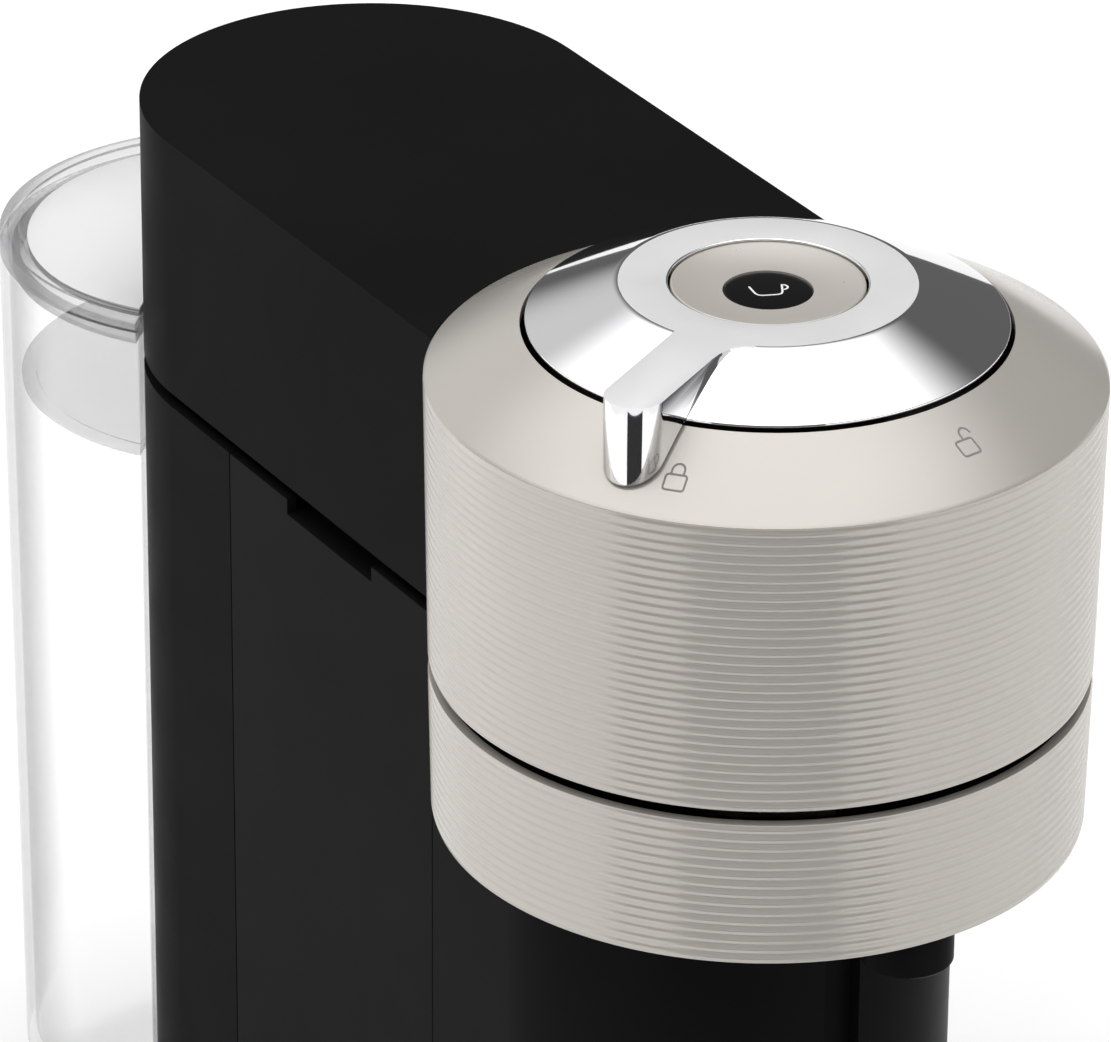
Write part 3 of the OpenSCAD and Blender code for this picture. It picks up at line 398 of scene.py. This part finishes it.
LENS_BLACK = surface("lens_black", (0.003, 0.003, 0.003), 0.1, 0.0, 0.2, 0.02, 900, 0.0002, specular=0.3)
PRINT_WHITE = surface("print_white", (0.88, 0.88, 0.87), 0.45, 0.0, 0.02, 0.04, 1500, 0.002)
PRINT_GREY = surface("print_grey", (0.20, 0.19, 0.18), 0.45, 0.0, 0.04, 0.04, 1500, 0.002)
LID_FROST = clear("lid_frost", (0.86, 0.86, 0.86), 0.9, 0.8, 0.35)

SLOT_OF = {s["node"]: s["material_slot"] for s in frame["record"]["subparts"]}
BODY_OF = {n: body for body, group in frame["record"]["behaviour"]["bodies"].items() for n in group}


def wear(obj, material):
    obj.data.materials.clear()
    obj.data.materials.append(material)


def stand_for(obj, node, material=None):
    """obj rides with a CAD node's body, takes its slot and finish, and is shown in its place."""
    if not obj.data.materials:
        wear(obj, material or LOOKS[SLOT_OF[node]])
    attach(obj, BODY_OF[node])
    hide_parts(node)
    return obj


def add_to(obj, node, material):
    """obj is an extra piece on a CAD node, such as a printed mark."""
    wear(obj, material)
    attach(obj, BODY_OF[node])
    return obj


# ---------------------------------------------------------------- head and ring


def ribs(count, high, low, r_high, r_low, per_rib=8):
    """The ribbed wall's profile: shallow waves from high down to low."""
    total = count * per_rib
    out = []
    for i in range(total + 1):
        share = i / total
        wave = 0.5 - 0.5 * math.cos(2 * math.pi * i / per_rib)
        out.append((r_high + (r_low - r_high) * share - RIB_DEPTH * (1 - wave), high + (low - high) * share))
    return out


def make_head_shell():
    low_r = HEAD_R - HEAD_TAPER
    lip = 0.5
    cone_t = 2.4
    inner = SKIRT_R + 0.9
    top = cone_z(inner)
    wall = ribs(31, -lip, HEAD_LOW, HEAD_R, low_r)
    bend_r = HEAD_R - lip - 0.25
    edge = [(bend_r, cone_z(bend_r)), (HEAD_R - 0.3, 0.02), (HEAD_R - 0.12, -0.18)]
    profile = (
        [(inner + 0.3, cone_z(inner + 0.3)), *edge]
        + wall
        + [(low_r - WALL, HEAD_LOW), (HEAD_R - WALL, -cone_t), (inner, top - cone_t)]
        + [(inner, top - 0.35), (inner + 0.1, top - 0.1)]
    )
    shell = revolve("head_shell_skin", profile, steps=256)
    half = 38
    window = box_object("window", (-half, half), (0, HEAD_R + 2), (HEAD_LOW + 5, -8))
    combine(shell, window, "DIFFERENCE")
    smooth(shell, 24)
    return stand_for(shell, "head_shell")


def make_lower_ring():
    high_r = HEAD_R - HEAD_TAPER
    low_r = high_r - RING_TAPER
    profile = ribs(15, RING_TOP, RING_LOW, high_r, low_r)
    profile += [(low_r - WALL, RING_LOW), (high_r - WALL, RING_TOP)]
    ring = revolve("lower_ring_skin", profile, steps=256)
    half = BODY_R - WALL + 0.3
    back = box_object("back", (-half, half), (0, HEAD_R + 2), (RING_LOW - 1, RING_TOP + 1))
    combine(ring, back, "DIFFERENCE")
    smooth(ring, 24)
    return stand_for(ring, "lower_ring")


# ---------------------------------------------------------------- lever


def make_lever():
    ring_r = 31.5
    hole_r = 20.65
    under_top = LEVER_TOP - 2.5
    profile = rounded(
        [
            (hole_r, LEVER_TOP), (ring_r, LEVER_TOP), (SKIRT_R, CONE_H + 0.5), (SKIRT_R, CONE_H),
            (SKIRT_R - 2, CONE_H), (ring_r, under_top), (hole_r, under_top),
        ],
        {0: 0.35, 1: 4.0, 2: 0.25},
    )
    lever = revolve("lever_skin", profile, steps=256)
    half, reach = 6.3, 66.6
    flare = 9.0
    root = 25.0
    join = math.sqrt(ring_r**2 - half**2)
    tip = arc((reach - half, 0), half, -math.pi / 2, math.pi / 2, 32)
    spread_y = flare * 0.55
    right = [(join + flare * (1 - t) ** 2 - 1, half + spread_y * t**2) for t in (0, 0.2, 0.4, 0.6, 0.8, 1)]
    outline = [(root, -half), *tip, *right, (root, half + spread_y)]
    turn = Matrix.Rotation(ARM_ANGLE, 2)
    spun = [tuple(turn @ Vector(p)) for p in outline]
    arm = loft("arm", [raised(spun, 0.6), raised(spun, LEVER_TOP)])
    gap = 1.0
    far = reach + 10
    foot_r = SKIRT_R + gap
    skirt_low = CONE_H + 0.02
    centre, deep = 0.001, -4
    under = [
        (centre, deep), (far, deep), (far, cone_z(far) + gap), (foot_r, cone_z(foot_r) + gap),
        (foot_r, skirt_low), (SKIRT_R - 1.9, skirt_low), (ring_r, under_top + 0.1), (centre, under_top + 0.1),
    ]
    combine(arm, revolve("under", under, steps=256), "DIFFERENCE")
    combine(lever, arm, "UNION")
    bevel(lever, 0.4, 3, 50)
    smooth(lever, 30)
    wear(lever, LOOKS["chrome"])
    lever.data.materials.append(SATIN)
    for face in lever.data.polygons:
        if face.normal.z > 0.995 and face.center.z > (LEVER_TOP + RIM - 0.2) * MM:
            face.material_index = 1
    return stand_for(lever, "lever")


# ---------------------------------------------------------------- button


def make_button():
    edge_r, lens_r = 20.2, 9.4
    low = LEVER_TOP - 4.9
    steps, dish_low, dish_depth = 14, LEVER_TOP - 2.0, 1.55
    shares = [k / steps for k in range(steps + 1)]
    dish = [(lens_r + (edge_r - 0.8 - lens_r) * t, dish_low + dish_depth * t**1.6) for t in shares]
    profile = (
        [(0, low), (edge_r, low), (edge_r, LEVER_TOP - 0.75)]
        + arc((edge_r - 0.4, LEVER_TOP - 0.75), 0.4, 0, math.pi / 2, 5)[1:]
        + dish[::-1]
        + [(lens_r, LEVER_TOP - 3.4), (0, LEVER_TOP - 3.4)]
    )
    cap = revolve("button_skin", profile, steps=192)
    smooth(cap, 35)
    skirt = revolve(
        "skirt", [(16.55, low - 8), (18.55, low - 8), (18.55, low), (16.55, low)], steps=96
    )
    whole = joined("button_skin", [cap, skirt])
    whole.name = "button_skin"
    return stand_for(whole, "button")


def make_lens():
    r = 9.3
    top = LEVER_TOP - 2.1
    crown, thick, steps = 0.35, 1.3, 10
    turns = [math.pi / 2 * k / steps for k in range(steps + 1)]
    dome = [(r * math.cos(t), top - crown + crown * math.sin(t)) for t in turns]
    profile = [(0, top - thick), (r, top - thick), *dome]
    lens = revolve("button_lens_skin", profile, steps=128)
    smooth(lens, 50)
    return stand_for(lens, "button_lens", LENS_BLACK)


def make_cup_mark():
    """A plain cup: its outline and its handle, lying on the lens."""
    tilt = math.radians(-22)

    def on_lens(x, y, lift):
        u = x * math.cos(tilt) - y * math.sin(tilt)
        v = x * math.sin(tilt) + y * math.cos(tilt)
        return (u, v, LEVER_TOP - 2.1 + lift)

    cup = [
        (-3.6, 2.2), (-2.9, -1.2), (-2.4, -2.0), (-1.6, -2.3),
        (1.6, -2.3), (2.4, -2.0), (2.8, -1.2), (3.3, 2.4),
    ]
    handle = arc((3.15, 1.1), 1.15, math.radians(80), math.radians(-95), 14)
    lines = [ribbon(part, line, LINE_W, 0.06, on_lens) for part, line in (("cup", cup), ("handle", handle))]
    return add_to(joined("cup_mark", lines), "button_lens", PRINT_WHITE)


def make_lock_mark(name, angle, radius, is_open):
    """A small padlock outline printed on the head's smooth cone."""
    turn = math.radians(angle)
    out = Vector((math.cos(turn), math.sin(turn)))
    side = Vector((-out.y, out.x))

    def on_cone(x, y, lift):
        flat = out * (radius - y) + side * x
        return (flat.x, flat.y, cone_z(flat.length) + lift)

    body = rounded([(-2.2, -2.4), (2.2, -2.4), (2.2, 0.9), (-2.2, 0.9)], {0: 0.6, 1: 0.6, 2: 0.6, 3: 0.6}, 4)
    shift = 1.5 if is_open else 0.0
    shackle = [(1.3 + shift, 0.9 + (0.9 if is_open else 0)), (1.3 + shift, 1.9)]
    shackle += arc((shift, 1.9), 1.3, 0, math.pi, 12)[1:]
    shackle += [(-1.3 + shift, 0.9)]
    lines = [
        ribbon("body", body, LINE_W, 0.04, on_cone, closed=True),
        ribbon("shackle", shackle, LINE_W, 0.04, on_cone),
    ]
    return add_to(joined(name, lines), "head_shell", PRINT_GREY)


# ---------------------------------------------------------------- tank


def make_tank():
    floor_t = 3
    rim = 0.6
    spans = 8

    def ring(inset, z):
        share = (TANK_TOP - z) / (TANK_TOP - TANK_LOW)
        return raised(crescent(TANK_R - TANK_TAPER * share - inset, HUG_R + 0.3 * inset), z)

    bottom = [ring(1.6, TANK_LOW), ring(0.5, TANK_LOW + 0.5), ring(0, TANK_LOW + 1.6)]
    outer_h, inner_h = TANK_TOP - rim - TANK_LOW, TANK_TOP - TANK_LOW - floor_t - 3
    wall = [ring(0, TANK_LOW + outer_h * k / spans) for k in range(1, spans + 1)]
    edge = [
        ring(0.2, TANK_TOP - 0.15), ring(rim, TANK_TOP),
        ring(TANK_WALL - rim, TANK_TOP), ring(TANK_WALL - 0.15, TANK_TOP - 0.2),
    ]
    inside = [ring(TANK_WALL, TANK_TOP - 0.8 - inner_h * k / spans) for k in range(spans + 1)]
    foot = [ring(TANK_WALL + 0.6, TANK_LOW + floor_t + 0.6), ring(TANK_WALL + 2, TANK_LOW + floor_t)]
    tank = loft("water_tank_skin", bottom + wall + edge + inside + foot)
    smooth(tank, 40)
    boss = revolve("boss", [(4, -5), (9, -5), (9, 0.02), (4, 0.02)], y=0, steps=64)
    boss.data.transform(Matrix.Translation((0, VALVE_Y * MM, TANK_LOW * MM)))
    return stand_for(joined("water_tank_skin", [tank, boss]), "water_tank")


def make_lid():
    def ring(inset, z, hug_share=0.15):
        return raised(crescent(TANK_R - inset, HUG_R + hug_share * inset), z)

    top, low = LID_TOP, TANK_TOP
    rings = [
        ring(5.2, low), ring(0.5, low), ring(0, low + 0.5),
        ring(0, top - 0.9), ring(0.25, top - 0.3), ring(0.9, top),
        ring(2.0, top), ring(2.3, top - 1.0), ring(3.0, top - 1.3),
        ring(3.5, top - 0.3), ring(4.6, top - 0.3), ring(5.0, top - 1.0),
        ring(5.7, top - 1.7), ring(6.6, top - 1.8),
    ]
    rim = loft("rim", [*rings, ring(6.6, low + 0.9), ring(5.2, low)], capped=False)
    plug_out, plug_in = TANK_WALL + 0.8, TANK_WALL + 2.6
    plug = loft(
        "plug",
        [ring(inset, low - drop, 0.4) for inset, drop in
         [(plug_out, 0), (plug_out, 4), (plug_in, 4), (plug_in, 0), (plug_out, 0)]],
        capped=False,
    )
    lid = joined("tank_lid_skin", [rim, plug])
    tidy(lid.data)
    smooth(lid, 35)
    disc = loft("tank_lid_disc", [ring(6.65, low + 1.0), ring(6.65, top - 1.95), ring(6.9, top - 1.8)])
    smooth(disc, 40)
    add_to(disc, "tank_lid", LID_FROST)
    return stand_for(lid, "tank_lid")


# The baffle plate is a grey clear sheet that paints the lid's shadow on the water in the tank.
def make_baffle():
    def ring(inset, z):
        return raised(crescent(TANK_R - inset, HUG_R + 0.25 * inset), z)

    low = BAFFLE_Z
    out = TANK_WALL + 2.4
    plate = loft(
        "tank_baffle_skin",
        [ring(out + 0.4, low), ring(out, low + 0.4), ring(out, low + 1.2), ring(out + 0.4, low + 1.6),
         ring(out + 3.2, low + 1.6), ring(out + 3.6, low + 1.1)],
    )
    smooth(plate, 40)
    stem = revolve("stem", [(0, low + 1), (3, low + 1), (3, TANK_TOP), (0, TANK_TOP)], steps=48)
    stem.data.transform(Matrix.Translation((12 * MM, (TANK_Y + 16) * MM, 0)))
    smooth(stem, 40)
    return stand_for(joined("tank_baffle_skin", [plate, stem]), "tank_baffle")


# ---------------------------------------------------------------- softened copies of CAD nodes


def soften(node, width, segments=3):
    """A copy of a CAD node with its edges rounded as a moulding's are, shown in its place."""
    source = frame["nodes"][node]
    mesh = source.data.copy()
    mesh.materials.clear()
    if mesh.has_custom_normals:
        mesh.attributes.remove(mesh.attributes["custom_normal"])
    bm = bmesh.new()
    bm.from_mesh(mesh)
    bmesh.ops.remove_doubles(bm, verts=bm.verts, dist=2e-6)
    bmesh.ops.dissolve_limit(bm, angle_limit=math.radians(0.4), verts=bm.verts, edges=bm.edges)
    bm.to_mesh(mesh)
    bm.free()
    obj = link(node + "_skin", mesh)
    bevel(obj, width, segments)
    smooth(obj, 32)
    weighted = obj.modifiers.new("weighted", "WEIGHTED_NORMAL")
    weighted.keep_sharp = True
    weighted.weight = 100
    bake_modifiers(obj)
    return stand_for(obj, node)


SOFTENED = {
    "top_casing": 0.7, "side_cover": 0.35, "rear_cover": 0.35, "front_cover": 0.4, "capsule_bin": 0.4,
    "cup_support": 0.6, "drip_grid": 0.3, "base_plate": 0.5, "tank_dock": 0.5, "coffee_spout": 0.3,
    "chamber_deck": 0.3, "capsule_holder": 0.3, "head_base": 0.3, "power_inlet": 0.5, "feet": 0.6,
}


# ---------------------------------------------------------------- stage


def soft_lobe(tree, azimuth, elevation, start, end, strength):
    """A soft-edged light in the surroundings, full within end degrees of its middle and gone by start."""
    a, e = math.radians(azimuth), math.radians(elevation)
    where = tree.nodes.new("ShaderNodeTexCoord")
    dot = tree.nodes.new("ShaderNodeVectorMath")
    dot.operation = "DOT_PRODUCT"
    dot.inputs[1].default_value = (math.cos(a) * math.cos(e), math.sin(a) * math.cos(e), math.sin(e))
    tree.links.new(where.outputs["Generated"], dot.inputs[0])
    ramp = tree.nodes.new("ShaderNodeMapRange")
    ramp.interpolation_type = "SMOOTHSTEP"
    ramp.inputs["From Min"].default_value = math.cos(math.radians(start))
    ramp.inputs["From Max"].default_value = math.cos(math.radians(end))
    ramp.inputs["To Min"].default_value = WORLD_LIGHT / len(SOFT_LIGHTS)
    ramp.inputs["To Max"].default_value = strength
    tree.links.new(dot.outputs["Value"], ramp.inputs["Value"])
    return ramp.outputs["Result"]


def make_stage():
    size = 6.0  # half the floor's side, in metres
    mesh = bpy.data.meshes.new("floor")
    corners = [(-size, -size, 0), (size, -size, 0), (size, size, 0), (-size, size, 0)]
    mesh.from_pydata(corners, [], [(0, 1, 2, 3)])
    floor = link("floor", mesh)
    wear(floor, surface("floor", (0.93, 0.93, 0.93), 0.9, 0.0, 0.01, 0.03, 40, 0.1, specular=0.1))
    world = bpy.data.worlds.new("studio")
    world.use_nodes = True
    tree = world.node_tree
    back = tree.nodes["Background"]
    back.inputs["Color"].default_value = (1, 1, 1, 1)
    total = None
    for azimuth, elevation, start, end, strength in SOFT_LIGHTS:
        lobe = soft_lobe(tree, azimuth, elevation, start, end, strength)
        if total:
            both = tree.nodes.new("ShaderNodeMath")
            tree.links.new(total, both.inputs[0])
            tree.links.new(lobe, both.inputs[1])
            lobe = both.outputs[0]
        total = lobe
    tree.links.new(total, back.inputs["Strength"])
    bpy.context.scene.world = world
    bpy.context.scene.view_settings.view_transform = "Standard"


def softbox(name, azimuth, elevation, distance, size, radiance):
    """An area light that faces the head from azimuth degrees about +Z and elevation degrees up."""
    a, e = math.radians(azimuth), math.radians(elevation)
    target = place(0, 60, -60)
    away = Vector((math.cos(a) * math.cos(e), math.sin(a) * math.cos(e), math.sin(e)))
    data = bpy.data.lights.new(name, "AREA")
    data.shape = "RECTANGLE"
    data.size, data.size_y = size
    data.energy = radiance * math.pi * size[0] * size[1]
    light = bpy.data.objects.new(name, data)
    bpy.context.scene.collection.objects.link(light)
    light.location = target + away * distance
    light.rotation_euler = (-away).to_track_quat("-Z", "Y").to_euler()
    light.visible_camera = False


def make_lights():
    softbox("left_light", 155, 10, 1.0, (1.6, 0.6), 1.0)
    softbox("right_light", -36, 10, 1.0, (2.0, 0.6), 0.7)


def make_flag():
    """A dark card on the floor in front, which only glossy surfaces see: the chrome's dark streak."""
    lift = 0.004
    near, far = (0.22, 0.11), (1.3, 0.62)  # distance and half width of each end
    away = Vector((math.cos(CAMERA_AZIMUTH), math.sin(CAMERA_AZIMUTH), 0))
    side = Vector((-away.y, away.x, 0))
    foot = place(0, 0, 0)
    foot.z = lift
    corners = [
        foot + away * distance + side * half * sign
        for (distance, half), sign in ((near, -1), (near, 1), (far, 1), (far, -1))
    ]
    mesh = bpy.data.meshes.new("dark_card")
    mesh.from_pydata(corners, [], [(0, 1, 2, 3)])
    card = link("dark_card", mesh)
    wear(card, surface("dark_card", (0.03, 0.03, 0.03), 0.9, 0.0, 0.1, 0.05, 40, 0.1, specular=0.0))
    card.visible_camera = False
    card.visible_diffuse = False
    card.visible_shadow = False
    card.visible_transmission = False


def make_camera():
    """The view from the front left and above that shows the head, the casing and the tank's lid."""
    yaw, pitch, roll = math.radians(31.09), math.radians(27.00), math.radians(0.43)
    ahead = Vector((math.sin(yaw) * math.cos(pitch), math.cos(yaw) * math.cos(pitch), -math.sin(pitch)))
    level = Vector((math.cos(yaw), -math.sin(yaw), 0))
    upright = level.cross(ahead)
    across = math.cos(roll) * level + math.sin(roll) * upright
    up = -math.sin(roll) * level + math.cos(roll) * upright
    data = bpy.data.cameras.new("camera")
    data.sensor_width = 36
    data.lens = 249.7
    camera = bpy.data.objects.new("camera", data)
    bpy.context.scene.collection.objects.link(camera)
    turned = Matrix((across, up, -ahead)).transposed().to_4x4()
    camera.matrix_world = Matrix.Translation(place(-776.2, -1203.4, 694.5)) @ turned
    bpy.context.scene.camera = camera


# ---------------------------------------------------------------- build

make_camera()
make_head_shell()
make_lower_ring()
make_lever()
make_button()
make_lens()
make_cup_mark()
make_lock_mark("mark_locked", -139.2, 62.3, False)
make_lock_mark("mark_unlocked", -80.4, 59.8, True)
make_tank()
make_lid()
make_baffle()
for node, width in SOFTENED.items():
    soften(node, width)
for node, obj in frame["nodes"].items():
    if not obj.hide_render:
        wear(obj, LOOKS[SLOT_OF[node]])
make_stage()
make_flag()
make_lights()

bpy.context.view_layer.update()
